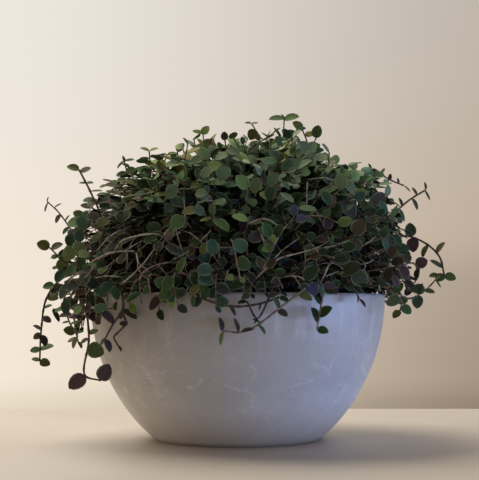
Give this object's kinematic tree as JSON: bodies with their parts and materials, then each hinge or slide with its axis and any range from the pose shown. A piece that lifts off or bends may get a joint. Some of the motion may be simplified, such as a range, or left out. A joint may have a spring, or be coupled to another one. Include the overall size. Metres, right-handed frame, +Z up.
{
  "type": "potted trailing plant",
  "caption": "Small-leaved creeping vine grown as a dense round mound in a wide footless bowl, with leafy runners trailing over the rim.",
  "frame": {"origin": "the middle of the bowl's flat underside, on the surface that it stands on", "axes": "+Z up along the bowl's axis; -Y towards the side that the picture shows, +X to that side's right"},
  "size_m": [0.364, 0.2993, 0.283],
  "materials": {
    "bowl": "pale warm grey stone finish with fine wandering white veins, satin",
    "green_vine": "fleshy green leaves on pale tan stems, soft sheen",
    "mound_leaves": "fleshy small leaves, mid to dark green, with paler margins, soft sheen",
    "olive_vine": "fleshy yellow-green to olive leaves on tan stems, soft sheen",
    "plum_vine": "fleshy purple-brown leaves on pink-brown stems, soft sheen",
    "soil": "dark damp potting soil, granular, dull"
  },
  "bodies": {
    "root": {"bowl": "bowl", "leafy_mound": "mound_leaves", "soil": "soil", "vine_back_1": "green_vine", "vine_back_2": "olive_vine", "vine_back_3": "green_vine", "vine_back_4": "plum_vine", "vine_back_5": "green_vine", "vine_back_6": "olive_vine", "vine_back_7": "green_vine", "vine_front_bow": "plum_vine", "vine_front_far_right": "plum_vine", "vine_front_left": "green_vine", "vine_front_mid": "green_vine", "vine_front_right": "green_vine", "vine_front_runner": "plum_vine", "vine_front_trail": "olive_vine", "vine_left_back": "green_vine", "vine_left_drop": "green_vine", "vine_left_far": "green_vine", "vine_left_high": "olive_vine", "vine_left_long": "plum_vine", "vine_left_low": "green_vine", "vine_left_mid": "olive_vine", "vine_left_rim": "plum_vine", "vine_right_arch": "green_vine", "vine_right_hang": "green_vine", "vine_right_high": "olive_vine", "vine_right_low": "green_vine", "vine_right_plum": "plum_vine", "vine_right_shoulder": "green_vine"}
  },
  "joints": []
}
